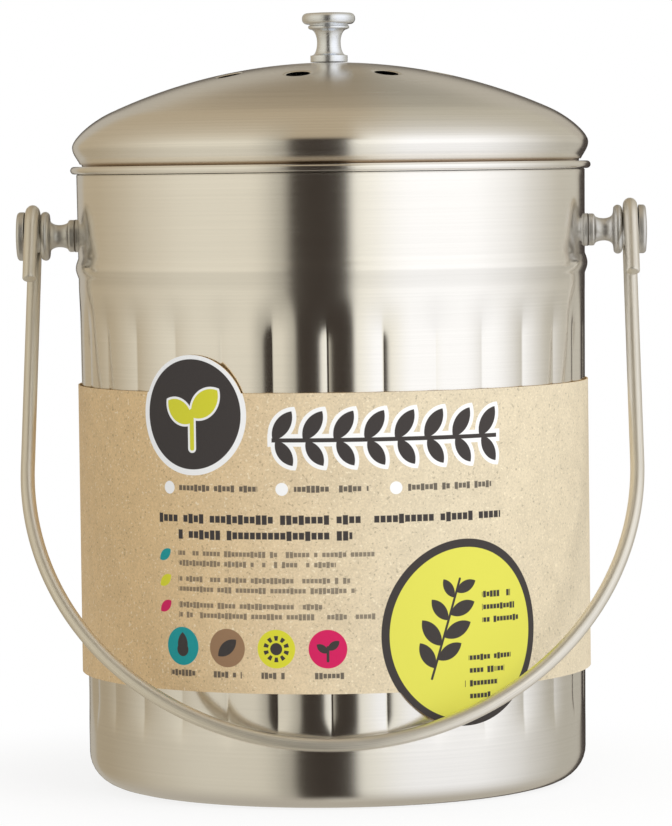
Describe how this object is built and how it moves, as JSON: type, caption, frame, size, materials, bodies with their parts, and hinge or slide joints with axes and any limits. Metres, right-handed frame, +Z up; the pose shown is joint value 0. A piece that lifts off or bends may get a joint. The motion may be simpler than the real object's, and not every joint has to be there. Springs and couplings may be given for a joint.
{
  "type": "kitchen compost bin",
  "caption": "Lidded steel compost pail with fluted wall, vented domed lid holding a charcoal filter, turned knob, swinging wire carry handle and a printed board sleeve.",
  "frame": {"origin": "centre of the flat base that the bin stands on", "axes": "+Z up along the bin's axis; +X along the line of the two handle posts; -Y is the front, where the handle rests"},
  "size_m": [0.236, 0.1957, 0.2873],
  "materials": {
    "brushed_steel": "satin, fine horizontal brushing",
    "turned_aluminium": "lathe-turned satin",
    "handle_wire": "drawn bright wire",
    "plated_screw": "zinc plated",
    "charcoal_felt": "matt needled felt",
    "kraft_board": "uncoated kraft with matt print"
  },
  "bodies": {
    "bin": {"bin_body": "brushed_steel", "left_handle_post": "turned_aluminium", "right_handle_post": "turned_aluminium", "left_outer_washer": "turned_aluminium", "right_outer_washer": "turned_aluminium", "left_inner_washer": "turned_aluminium", "right_inner_washer": "turned_aluminium", "left_post_screw": "plated_screw", "right_post_screw": "plated_screw", "paper_sleeve": "kraft_board"},
    "handle": {"carry_handle": "handle_wire"},
    "lid": {"lid_dome": "brushed_steel", "lid_inner_ring": "brushed_steel", "lid_knob": "turned_aluminium", "knob_screw": "plated_screw", "knob_washer": "turned_aluminium"},
    "filter": {"carbon_filter": "charcoal_felt"}
  },
  "joints": [
    {"name": "handle_swing", "type": "hinge", "parent": "bin", "child": "handle", "pos_m": [0, 0, 0.2051], "axis": [-1, 0, 0], "range_deg": [0, 303.5]},
    {"name": "lid_lift", "type": "slide", "parent": "bin", "child": "lid", "axis": [0, 0, 1], "range_m": [0, 0.08]},
    {"name": "filter_removal", "type": "slide", "parent": "lid", "child": "filter", "axis": [0, 0, -1], "range_m": [0, 0.012]}
  ]
}
